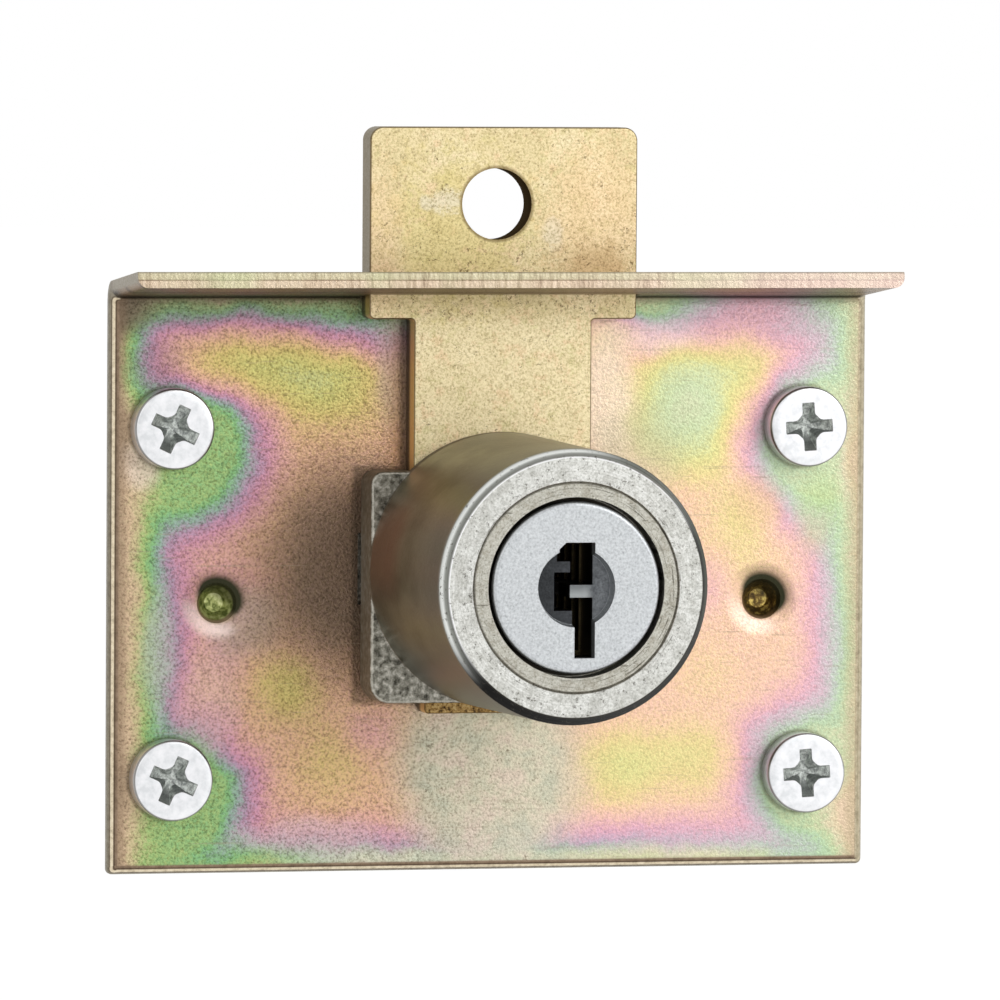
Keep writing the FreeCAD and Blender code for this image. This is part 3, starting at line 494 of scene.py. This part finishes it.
def bare_zinc_sleeve():
    finish, tree, metal, place = new_finish("bare_zinc_sleeve")[:4]
    radius, depth, centred = round_the_axis(tree, place)
    cx, cz = apart(tree, centred)[::2]
    specks = grain(tree, place, 0.14, 3.0, 0.7)
    colour = cast(tree, specks, [
        (0.28, (126, 124, 114)), (0.42, (166, 164, 153)), (0.56, (184, 182, 172)), (0.74, (204, 203, 195))])
    cloudy = cast(tree, grain(tree, place, 0.8, 3.0, 0.6), [(0.36, (204, 198, 188)), (0.56, (255, 255, 255))])
    colour = layer(tree, 0.5, colour, cloudy, "MULTIPLY")
    around = put(tree, "Mapping", Vector=centred, Rotation=(0.0, 0.7, 0.0), Scale=(0.5, 1.0, 2.6))
    scores = put(tree, "TexNoise", Vector=around, Scale=1.3, Detail=4.0, Roughness=0.8)
    colour = layer(tree, ease(tree, scores, 0.60, 0.66, 0.0, 0.75), colour, tint(92, 88, 78))
    turn = sum_up(tree, "ARCTAN2", cx, cz)
    arcs = put(tree, "CombineXYZ", (sum_up(tree, "DIVIDE", radius, 0.13), times(tree, turn, 2.2), 0.0))
    arcs = put(tree, "TexNoise", Vector=arcs, Scale=1.0, Detail=3.0, Roughness=0.7)
    right_side = ease(tree, cx, -3.0, 5.0, 0.35, 0.9)
    colour = layer(tree, times(tree, ease(tree, arcs, 0.56, 0.63), right_side), colour, tint(80, 76, 66))
    # painted shade on the inner wall, in the gap round the plug
    gap_shade = times(tree, ease(tree, radius, 6.52, 6.44), ease(tree, depth, -26.3, -25.7, 0.15, 1.0))
    colour = layer(tree, gap_shade, colour, tint(46, 42, 36))
    tree.links.new(colour, metal.inputs["Base Color"])
    metal.inputs["Metallic"].default_value = 0.9
    metal.inputs["Roughness"].default_value = 0.4
    relief(tree, metal, turned_lines(tree, radius, depth, 0.1), 0.012)
    return finish


dress(node["core_sleeve"], bare_zinc_sleeve())


# Key plug: a zinc turning with a milled keyway, that the key turns by half a turn.
# Its face is fine satin; the shallow dish round the keyway is darker, painted in shade on its left, and the
# keyway and the gap round the plug are painted black inside as shade.

def satin_plug():
    finish, tree, metal, place = new_finish("satin_plug")[:4]
    radius, depth, centred = round_the_axis(tree, place)
    cx, cz = apart(tree, centred)[::2]
    specks = grain(tree, place, 0.18, 3.0, 0.7)
    colour = cast(tree, specks, [
        (0.28, (150, 153, 155)), (0.42, (178, 181, 183)), (0.56, (192, 195, 197)), (0.74, (206, 209, 210))])
    dish = times(tree, ease(tree, radius, 2.72, 2.66), ease(tree, depth, -26.45, -26.35))
    cloudy = grain(tree, place, 0.7, 3.0, 0.6)
    # painted shade across the dish, dark on the left and lighter towards the right
    across = plus(tree, cx, times(tree, less(tree, cloudy, 0.5), 5.0))
    dish_shade_tone = cast(tree, put(tree, "MapRange", (across, -2.8, 3.0, 0.0, 1.0)), [
        (0.1, (52, 54, 56)), (0.5, (66, 68, 71)), (0.9, (104, 107, 110))])
    speckled = cast(tree, specks, [(0.32, (170, 170, 170)), (0.60, (255, 255, 255))])
    dish_shade_tone = layer(tree, 0.7, dish_shade_tone, speckled, "MULTIPLY")
    colour = layer(tree, dish, colour, dish_shade_tone)

    # the ward that juts into the keyway from the right carries a painted highlight, brightest low down
    ward_highlight = times(tree, ease(tree, cx, 1.5, 0.8), ease(tree, cx, -0.45, -0.30),
                 ease(tree, cz, -0.80, -0.74), ease(tree, cz, 0.22, 0.14), dish, ease(tree, cz, 0.1, -0.6, 0.35, 0.8))
    colour = layer(tree, ward_highlight, colour, tint(156, 160, 160))
    # painted shade: black deep in the keyway and in the gap round the plug
    deep = ease(tree, depth, -25.72, -25.2)
    gap = times(tree, ease(tree, radius, 6.14, 6.2), ease(tree, depth, -26.2, -25.9))
    colour = layer(tree, most(tree, deep, gap), colour, tint(24, 22, 20))
    tree.links.new(colour, metal.inputs["Base Color"])
    metal.inputs["Metallic"].default_value = 0.9
    metal.inputs["Roughness"].default_value = 0.4
    relief(tree, metal, specks, 0.008)
    return finish


dress(node["plug"], satin_plug())


# Wafers and wafer springs: six stamped brass plates that cross the plug, each
# pushed up by a coil spring of fine steel wire that stands under its ear.

def stamped_brass():
    finish, tree, metal, place = new_finish("stamped_brass")[:4]
    level = put(tree, "Mapping", Vector=place, Scale=(1.0, 1.0, 8.0))
    brushed = put(tree, "TexNoise", Vector=level, Scale=1.5, Detail=4.0)
    colour = cast(tree, brushed, [(0.3, (58, 50, 34)), (0.5, (80, 70, 48)), (0.7, (104, 92, 64))])
    tree.links.new(colour, metal.inputs["Base Color"])
    metal.inputs["Metallic"].default_value = 0.9
    metal.inputs["Roughness"].default_value = 0.36
    relief(tree, metal, brushed, 0.01)
    return finish


def drawn_wire():
    finish, tree, metal, place = new_finish("drawn_wire")[:4]
    streaks = grain(tree, place, 0.08, 2.0)
    colour = cast(tree, streaks, [(0.3, (150, 150, 148)), (0.7, (200, 200, 198))])
    tree.links.new(colour, metal.inputs["Base Color"])
    metal.inputs["Metallic"].default_value = 0.95
    tree.links.new(ease(tree, streaks, 0.3, 0.7, 0.38, 0.24), metal.inputs["Roughness"])
    relief(tree, metal, streaks, 0.003)
    return finish


SPRING_FOOT = -0.95
EAR_UNDERSIDE = 1.95


def coil(middle_x, middle_y, foot, top):
    """Five open turns of 0.16 mm wire, wound 0.9 mm across, between two heights."""
    wire, winding, turns = 0.08, 0.37, 5
    steps, sides = 32, 10
    climb = (top - foot - 2 * wire) / (2 * math.pi * turns)
    slope = math.atan2(climb, winding)
    points, faces = [], []
    for i in range(turns * steps + 1):
        turn = 2 * math.pi * i / steps
        for k in range(sides):
            around = 2 * math.pi * k / sides
            out = winding + wire * math.cos(around)
            back = wire * math.sin(around) * math.sin(slope)
            points.append((
                middle_x + out * math.cos(turn) + back * math.sin(turn),
                middle_y + out * math.sin(turn) - back * math.cos(turn),
                foot + wire + climb * turn + wire * math.sin(around) * math.cos(slope)))
            if i < turns * steps:
                a, b = i * sides + k, i * sides + (k + 1) % sides
                faces.append((a, a + sides, b + sides, b))
    faces.append(tuple(range(sides)))
    faces.append(tuple(turns * steps * sides + k for k in reversed(range(sides))))
    mesh = bpy.data.meshes.new("wafer_coil")
    mesh.from_pydata([(px * 0.001, py * 0.001, pz * 0.001) for px, py, pz in points], [], faces)
    mesh.validate()
    for face in mesh.polygons:
        face.use_smooth = len(face.vertices) == 4
    return mesh


# each spring stands in the plug in its own wafer spring's place and reaches up to the underside of the ears
wafer_finish, spring_finish = stamped_brass(), drawn_wire()
for number in range(1, 7):
    dress(node["wafer_%d" % number], wafer_finish)
    low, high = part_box("wafer_spring_%d" % number)
    middle_x, middle_y = (low.x + high.x) / 2, (low.y + high.y) / 2
    shape = coil(middle_x * 1000, middle_y * 1000, SPRING_FOOT, EAR_UNDERSIDE)
    shape.materials.append(spring_finish)
    spring = bpy.data.objects.new("coil_spring_%d" % number, shape)
    bpy.context.scene.collection.objects.link(spring)
    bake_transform(spring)
    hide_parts("wafer_spring_%d" % number)


# Drive cam, drive pin and cam screw: the zinc disc clamped on the plug's square
# stub, the turned steel pin pressed into it, and the countersunk screw that holds it.

def cam_zinc():
    finish, tree, metal, place = new_finish("cam_zinc")[:4]
    radius, depth = round_the_axis(tree, place)[:2]
    mottle = grain(tree, place, 0.4, 4.0, 0.65)
    colour = cast(tree, mottle, [(0.3, (112, 110, 104)), (0.5, (150, 148, 142)), (0.7, (178, 177, 172))])
    tree.links.new(colour, metal.inputs["Base Color"])
    metal.inputs["Metallic"].default_value = 0.9
    metal.inputs["Roughness"].default_value = 0.45
    relief(tree, metal, turned_lines(tree, radius, depth, 0.15), 0.015)
    return finish


def turned_steel():
    finish, tree, metal, place = new_finish("turned_steel")[:4]
    streaks = grain(tree, place, 0.12, 3.0, 0.6)
    colour = cast(tree, streaks, [(0.3, (140, 140, 140)), (0.5, (172, 172, 172)), (0.7, (198, 198, 198))])
    tree.links.new(colour, metal.inputs["Base Color"])
    metal.inputs["Metallic"].default_value = 0.95
    metal.inputs["Roughness"].default_value = 0.3
    relief(tree, metal, streaks, 0.006)
    return finish


dress(node["drive_cam"], cam_zinc())
pin_finish = turned_steel()
for name in ("drive_pin", "cam_screw"):
    dress(node[name], pin_finish)


# Bolt: a 2.5 mm steel stamping that slides up through the slot in the flange, with
# an eye in its head. It is chromated a plain gold, mottled and lightly scratched.

EYE_X, EYE_Z = -0.10, 29.65
BOLT_FRONT_Y = -3.8


def gold_chromate():
    finish, tree, metal, place, facing = new_finish("gold_chromate")
    ny = apart(tree, facing)[1]
    depth, height_up = apart(tree, place)[1:]
    cloud = grain(tree, place, 3.5, 3.0, 0.55)
    colour = cast(tree, cloud, [(0.25, (210, 194, 150)), (0.50, (222, 206, 162)), (0.75, (230, 216, 178))])
    brighter = ease(tree, height_up, 21.6, 20.6, 0.0, 0.5)
    colour = layer(tree, brighter, colour, tint(242, 228, 190))
    rosy = grain(tree, place, 1.1, 4.0, 0.7)
    colour = layer(tree, ease(tree, rosy, 0.52, 0.68, 0.0, 0.45), colour, tint(232, 198, 160))
    moved = put(tree, "VectorMath", (place, (7.0, 3.0, 11.0)), operation="ADD")
    greenish = grain(tree, moved, 1.3, 4.0, 0.7)
    colour = layer(tree, ease(tree, greenish, 0.54, 0.70, 0.0, 0.4), colour, tint(196, 190, 128))

    # ragged spots of thinner and thicker film on the head; the wide low one under the flange is painted shade
    for spot_x, spot_z, half_x, half_z, share, shade in (
            (-3.4, 27.4, 6.4, 6.6, 0.45, (214, 198, 126)), (7.6, 28.5, 4.6, 7.0, 0.4, (240, 204, 164)),
            (-9.2, 26.5, 2.4, 7.0, 0.4, (238, 206, 168)), (-4.2, 29.9, 2.0, 1.0, 0.6, (222, 214, 196)),
            (4.2, 27.4, 0.9, 1.3, 0.5, (222, 212, 190)), (7.4, 25.0, 3.4, 2.0, 0.4, (170, 136, 84)),
            (-2.5, 22.6, 8.0, 1.0, 0.2, (150, 124, 72))):
        spot = put(tree, "Mapping", vector_type="TEXTURE", Vector=place,
                   Location=(spot_x, 0.0, spot_z), Scale=(half_x, 1000.0, half_z))
        spot = put(tree, "VectorMath", (spot,), operation="LENGTH")
        ragged = sum_up(tree, "MULTIPLY_ADD", less(tree, rosy, 0.5), 2.4, spot)
        colour = layer(tree, ease(tree, ragged, 1.1, 0.4, 0.0, share), colour, tint(*shade))
    fine = grain(tree, place, 0.17, 3.0, 0.7)
    shade = cast(tree, fine, [(0.30, (160, 148, 120)), (0.44, (226, 222, 210)), (0.60, (255, 255, 255))])
    colour = layer(tree, 0.75, colour, shade, "MULTIPLY")
    pits = grain(tree, place, 0.40, 4.0, 0.85)
    lower = sum_up(tree, "MULTIPLY_ADD", cloud, 0.12, ease(tree, height_up, 30.0, 23.0, -0.06, -0.025))
    lower = plus(tree, lower, ease(tree, height_up, 21.6, 20.6, 0.0, -0.045))
    pitted = ease(tree, plus(tree, pits, lower), 0.61, 0.66, 0.0, 0.85)
    colour = layer(tree, pitted, colour, tint(92, 72, 36))
    rusty = cast(tree, grain(tree, place, 0.3, 3.0, 0.75), [
        (0.36, (40, 30, 16)), (0.46, (128, 98, 54)), (0.54, (166, 134, 80)), (0.66, (190, 164, 112))])
    colour = layer(tree, ease(tree, height_up, -3.0, -5.5), colour, rusty)

    # dark lines along the stamped edges, and the sheared walls; the wall inside the eye is painted black as shade,
    # with no reflection
    eye = put(tree, "VectorMath", (place, (EYE_X, BOLT_FRONT_Y, EYE_Z)), operation="DISTANCE")
    colour = layer(tree, ease(tree, eye, 2.95, 2.72, 0.0, 0.7), colour, tint(104, 84, 48))
    colour = layer(tree, ease(tree, size_of(tree, ny), 0.98, 0.88, 0.0, 0.8), colour, tint(84, 66, 38))
    sheared = ease(tree, size_of(tree, ny), 0.55, 0.25)
    cut_tone = layer(tree, ease(tree, depth, -2.0, -2.8), tint(76, 62, 40), tint(236, 200, 130))
    cut_tone = layer(tree, ease(tree, height_up, 22.4, 23.4), cut_tone, tint(118, 106, 78))
    hole = put(tree, "VectorMath", (place, (EYE_X, 0.0, EYE_Z)), operation="SUBTRACT")
    hole = put(tree, "VectorMath", (hole, (1.0, 0.0, 1.0)), operation="MULTIPLY")
    hole = put(tree, "VectorMath", (hole,), operation="LENGTH")
    eye_wall_shade = times(tree, ease(tree, hole, 3.1, 2.95), sheared)
    cut_tone = layer(tree, eye_wall_shade, cut_tone, tint(70, 55, 36))
    colour = layer(tree, times(tree, sheared, 0.85), colour, cut_tone)
    tree.links.new(colour, metal.inputs["Base Color"])
    tree.links.new(ease(tree, eye_wall_shade, 0.0, 1.0, 0.8, 0.0), metal.inputs["Metallic"])
    tree.links.new(ease(tree, eye_wall_shade, 0.0, 1.0, 0.5, 0.0), metal.inputs["Specular IOR Level"])
    tree.links.new(ease(tree, fine, 0.3, 0.7, 0.5, 0.36), metal.inputs["Roughness"])
    relief(tree, metal, fine, 0.012)
    return finish


dress(node["bolt"], gold_chromate())


# Fixing screws: four metric 3 steel screws with low cylinder heads and a cross
# recess, cold headed with rolled threads and plated bright zinc. They pass
# through the plate's corner holes, and the left pair stands turned by 25 degrees.

HEAD_UNDER = -1.2
HEAD_FACE = -3.2


def recess_reach(angle, reach, half_arm, core):
    """How far the cross recess reaches from the screw's centre at an angle."""
    off = abs((angle + math.pi / 4) % (math.pi / 2) - math.pi / 4)
    side = half_arm / max(math.sin(off), 1e-6)
    end = reach / math.cos(off)
    blend = 0.32
    mixed = max(blend - abs(min(side, end) - core), 0.0) / blend
    return min(max(min(side, end), core) + mixed ** 2 * blend / 4, end)


def screw_mesh():
    steps = 192
    angles = [2 * math.pi * i / steps for i in range(steps)]
    rings = []

    def ring(radius_at, y):
        rings.append([(radius_at(a) * math.cos(a), y, radius_at(a) * math.sin(a)) for a in angles])

    ring(lambda a: 0.10, HEAD_FACE + 1.30)
    ring(lambda a: recess_reach(a, 0.75, 0.22, 0.38), HEAD_FACE + 1.12)
    ring(lambda a: recess_reach(a, 1.36, 0.36, 0.70), HEAD_FACE + 0.55)
    ring(lambda a: recess_reach(a, 1.73, 0.44, 0.94), HEAD_FACE + 0.10)
    ring(lambda a: recess_reach(a, 1.81, 0.475, 1.00), HEAD_FACE)
    for radius, y in (
            (2.35, 0.0), (2.78, 0.0), (2.86, 0.02), (2.93, 0.07), (2.98, 0.15), (3.0, 0.26), (3.0, 1.85)):
        ring(lambda a, r=radius: r, HEAD_FACE + y)
    ring(lambda a: 2.93, HEAD_UNDER - 0.02)
    ring(lambda a: 2.8, HEAD_UNDER)
    ring(lambda a: 1.3, HEAD_UNDER)
    ring(lambda a: 1.24, 0.15)
    points = [p for r in rings for p in r]
    faces = [(i * steps + j, i * steps + (j + 1) % steps, (i + 1) * steps + (j + 1) % steps, (i + 1) * steps + j)
             for i in range(len(rings) - 1) for j in range(steps)]
    faces.append(tuple(range(steps))[::-1])

    # rolled thread, a ridge that winds along the shank and runs out at both ends
    per_turn, pitch, root, crest = 32, 0.5, 1.22, 1.5
    start_y, end_y = 0.15, 8.8
    rows = int((end_y - start_y) / pitch * per_turn) + per_turn
    first = len(points)
    profile, width = ((0.0, 0), (0.17, 0), (0.36, 1), (0.45, 1)), 0.64
    for step in range(rows + 1):
        angle = 2 * math.pi * step / per_turn
        for along, high in profile:
            y = start_y - pitch + pitch * (step / per_turn + along / width * 0.999)
            inside = min(max(y, start_y), end_y)
            run_out = min(1.0, max(0.0, (inside - start_y) / 0.3), max(0.0, (end_y - inside) / 0.5))
            radius = root + (crest - root) * high * run_out
            points.append((radius * math.cos(angle), inside, radius * math.sin(angle)))
    for step in range(rows):
        for k in range(3):
            a = first + step * 4 + k
            faces.append((a, a + 1, a + 5, a + 4))
        after = first + (step + per_turn) * 4
        if step + per_turn + 1 <= rows:
            a = first + step * 4 + 3
            faces.append((a, after, after + 4, a + 4))
    cap = len(points)
    points.append((0.0, end_y, 0.0))
    last = [first + (rows - per_turn + i) * 4 + 3 for i in range(per_turn + 1)]
    faces += [(last[i], cap, last[i + 1]) for i in range(per_turn)]
    mesh = bpy.data.meshes.new("fixing_screw")
    mesh.from_pydata([(px * 0.001, py * 0.001, pz * 0.001) for px, py, pz in points], [], faces)
    mesh.validate()
    for face in mesh.polygons:
        face.use_smooth = True
    mesh.set_sharp_from_angle(angle=math.radians(32))
    return mesh


def bright_zinc():
    finish, tree, metal, place, facing = new_finish("bright_zinc")
    patches = grain(tree, place, 0.6, 3.0, 0.6)
    colour = cast(tree, patches, [(0.3, (212, 214, 216)), (0.5, (226, 227, 229)), (0.7, (236, 236, 238))])
    depth = apart(tree, place)[1]
    off_axis = put(tree, "VectorMath", (place, (1.0, 0.0, 1.0)), operation="MULTIPLY")
    off_axis = put(tree, "VectorMath", (off_axis,), operation="LENGTH")
    sunk = times(tree, ease(tree, depth, HEAD_FACE + 0.005, HEAD_FACE + 0.06), ease(tree, off_axis, 2.3, 2.0),
                 ease(tree, depth, -1.0, -1.2))
    # the cross recess is painted darker as shade, mottled with scuffs, and darker still on walls that face up
    recess_shade_and_scuffs = cast(tree, grain(tree, place, 0.3, 3.0, 0.7), [
        (0.35, (146, 150, 148)), (0.50, (192, 196, 192)), (0.62, (228, 232, 228))])
    ny, nz = apart(tree, facing)[1:]
    recess_shade_and_scuffs = layer(tree, ease(tree, nz, 0.15, 0.6, 0.0, 0.75), recess_shade_and_scuffs, tint(96, 100, 98))
    colour = layer(tree, sunk, colour, recess_shade_and_scuffs)
    edge = times(tree, ease(tree, ny, -0.93, -0.75), ease(tree, ny, -0.10, -0.35), ease(tree, sunk, 0.6, 0.2), 0.75)
    colour = layer(tree, edge, colour, tint(96, 92, 86))
    tree.links.new(colour, metal.inputs["Base Color"])
    metal.inputs["Metallic"].default_value = 0.9
    tree.links.new(ease(tree, sunk, 0.0, 1.0, 0.32, 0.62), metal.inputs["Roughness"])
    relief(tree, metal, patches, 0.006)
    return finish


screw_shape, screw_finish = screw_mesh(), bright_zinc()
screw_shape.materials.append(screw_finish)
screws = {
    "screw_top_left": (-SCREW_X, SCREW_Z, -25.0),
    "screw_top_right": (SCREW_X, SCREW_Z, 3.5),
    "screw_bottom_left": (-SCREW_X, -SCREW_Z, -24.0),
    "screw_bottom_right": (SCREW_X, -SCREW_Z, 3.5),
}
for name, (screw_x, screw_z, turn) in screws.items():
    screw = bpy.data.objects.new("fixing_" + name, screw_shape)
    bpy.context.scene.collection.objects.link(screw)
    screw.location = (screw_x * 0.001, 0.0, screw_z * 0.001)
    screw.rotation_euler = (0.0, math.radians(-turn), 0.0)
    bpy.context.view_layer.update()
    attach(screw, "case")
    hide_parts(name)


# Studio: a plain pale floor under the lock, an even white surround and two soft
# lamps, the brighter one high on the right.

def floor_paint():
    paint = bpy.data.materials.new("pale_floor")
    paint.use_nodes = True
    tree = paint.node_tree
    tree.nodes.remove(tree.nodes["Principled BSDF"])
    out = tree.nodes["Material Output"]
    matt = put(tree, "BsdfDiffuse", Color=(0.82, 0.82, 0.82, 1.0))
    glow = put(tree, "Emission", Color=(1.0, 1.0, 1.0, 1.0), Strength=0.6)
    lifted = put(tree, "AddShader", (matt, glow))
    path = put(tree, "LightPath").node.outputs
    seen = sum_up(tree, "ADD", path["Is Camera Ray"], path["Is Glossy Ray"], use_clamp=True)
    tree.links.new(put(tree, "MixShader", (seen, matt, lifted)), out.inputs["Surface"])
    return paint


floor_z = -0.062
floor_mesh = bpy.data.meshes.new("floor")
floor_corners = [(x, y, floor_z) for x, y in ((-4, -4), (4, -4), (4, 4), (-4, 4))]
floor_mesh.from_pydata(floor_corners, [], [(0, 1, 2, 3)])
floor_mesh.materials.append(floor_paint())
floor = bpy.data.objects.new("floor", floor_mesh)
bpy.context.scene.collection.objects.link(floor)

world = bpy.data.worlds.new("white_surround")
bpy.context.scene.world = world
world.use_nodes = True
tree = world.node_tree
tree.nodes.remove(tree.nodes["Background"])
path = put(tree, "LightPath").node.outputs
soft = put(tree, "Background", Color=(1.0, 1.0, 1.0, 1.0), Strength=0.5)
white = put(tree, "Background", Color=(1.0, 1.0, 1.0, 1.0), Strength=1.0)
seen = sum_up(tree, "ADD", path["Is Camera Ray"], path["Is Glossy Ray"], use_clamp=True)
seen = sum_up(tree, "ADD", seen, path["Is Transmission Ray"], use_clamp=True)
tree.links.new(put(tree, "MixShader", (seen, soft, white)), tree.nodes["World Output"].inputs["Surface"])


def soft_lamp(name, place, size, watts):
    lamp = bpy.data.lights.new(name, "AREA")
    lamp.shape, lamp.size, lamp.energy = "DISK", size, watts
    stand = bpy.data.objects.new(name, lamp)
    bpy.context.scene.collection.objects.link(stand)
    stand.location = place
    stand.visible_camera = False
    aim = Vector((0.0, -0.01, 0.005)) - stand.location
    stand.rotation_euler = aim.to_track_quat("-Z", "Y").to_euler()


soft_lamp("key_lamp", (0.22, -0.34, 0.16), 0.30, 0.55)
soft_lamp("fill_lamp", (-0.35, -0.35, 0.15), 0.30, 0.15)


# Camera: it stands where the photograph was taken from, nearly level with the lock
# and a little to the left, and has a long lens.

camera = bpy.data.objects.new("camera", bpy.data.cameras.new("camera"))
bpy.context.scene.collection.objects.link(camera)
bpy.context.scene.camera = camera
camera.data.lens = 354.2
camera.data.sensor_width = 36.0
camera.data.clip_start, camera.data.clip_end = 0.01, 20.0
right = Vector((0.97137, -0.23747, 0.00643))
up = Vector((0.00550, 0.04954, 0.99876))
back = right.cross(up)
turn = Matrix((right, up, back)).transposed()
camera.matrix_world = Matrix.Translation((-0.17329, -0.71279, 0.04379)) @ turn.to_4x4()

bpy.context.scene.view_settings.view_transform = "Standard"
